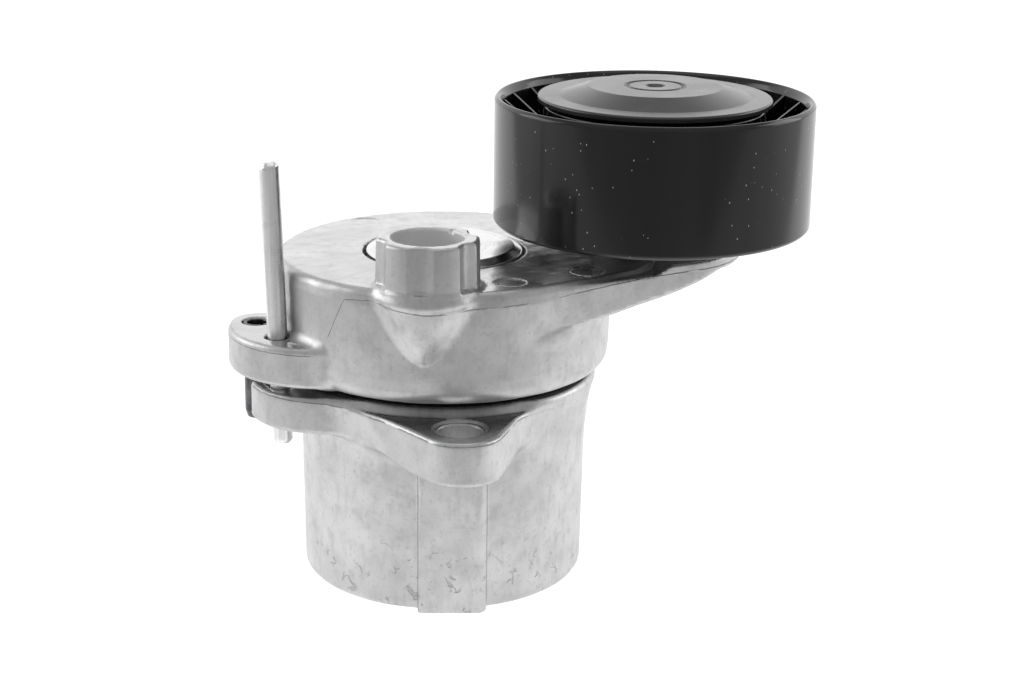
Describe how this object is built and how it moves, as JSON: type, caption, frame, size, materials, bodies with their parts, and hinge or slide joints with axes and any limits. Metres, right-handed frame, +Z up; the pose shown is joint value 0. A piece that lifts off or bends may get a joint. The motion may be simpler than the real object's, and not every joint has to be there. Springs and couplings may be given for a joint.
{
  "type": "belt tensioner idler",
  "caption": "Cast belt tensioner: a ribbed can with bolt ears, a sprung arm with a wrench boss and a lock pin, and a smooth black idler pulley under a grey dust cap.",
  "frame": {"origin": "centre of the can's flat bottom face, on the arm's pivot axis", "axes": "+Z up along the pivot axis, from the can to the pulley; +X towards the pulley, with the lock pin at -X and the wrench boss at -Y"},
  "size_m": [0.1187, 0.091, 0.1005],
  "materials": {
    "cast_aluminium": "as cast, mottled",
    "machined_steel": "turned",
    "polished_steel": "polished",
    "bearing_steel": "ground",
    "zinc_steel": "zinc plated",
    "pin_steel": "drawn wire",
    "spring_steel": "dark oiled",
    "black_nylon": "smooth gloss",
    "grey_nylon": "matte",
    "friction_nylon": "matte",
    "seal_rubber": "matte"
  },
  "bodies": {
    "base": {"base_housing": "cast_aluminium", "pivot_shaft": "machined_steel", "end_plate": "polished_steel", "torsion_spring": "spring_steel", "spring_seat": "friction_nylon", "damping_ring": "friction_nylon", "dust_seal_ring": "seal_rubber"},
    "arm": {"tensioner_arm": "cast_aluminium", "stop_sleeve": "spring_steel", "bearing_inner_ring": "bearing_steel", "bearing_spacer": "machined_steel", "pulley_bolt": "zinc_steel", "friction_disc": "friction_nylon", "pivot_bush_lower": "friction_nylon", "pivot_bush_upper": "friction_nylon"},
    "pulley": {"pulley_rim": "black_nylon", "bearing_outer_ring": "bearing_steel", "dust_cap": "grey_nylon", "bearing_seal_front": "seal_rubber", "bearing_seal_rear": "seal_rubber"},
    "ball_set": {"bearing_cage": "friction_nylon", "bearing_ball_1": "bearing_steel", "bearing_ball_2": "bearing_steel", "bearing_ball_3": "bearing_steel", "bearing_ball_4": "bearing_steel", "bearing_ball_5": "bearing_steel", "bearing_ball_6": "bearing_steel", "bearing_ball_7": "bearing_steel", "bearing_ball_8": "bearing_steel"},
    "lock_pin": {"lock_pin": "pin_steel"}
  },
  "joints": [
    {"name": "arm_swing", "type": "hinge", "parent": "base", "child": "arm", "pos_m": [0, 0, 0.0447], "axis": [0, 0, 1], "range_deg": [-45, 0], "stiffness_Nm_per_rad": 0.3, "springref_deg": 45.84, "deforming": ["torsion_spring"]},
    {"name": "pulley_spin", "type": "hinge", "parent": "arm", "child": "pulley", "pos_m": [0.0425, 0.005, 0.0853], "axis": [0, 0, 1], "continuous": true},
    {"name": "ball_set_spin", "type": "hinge", "parent": "arm", "child": "ball_set", "pos_m": [0.0425, 0.005, 0.0853], "axis": [0, 0, 1], "continuous": true},
    {"name": "lock_pin_pull", "type": "slide", "parent": "arm", "child": "lock_pin", "axis": [-0.0291, 0, 0.9996], "range_m": [0, 0.062]}
  ],
  "couplings": [
    {"joint": "ball_set_spin", "follows": "pulley_spin", "ratio": 0.618}
  ]
}
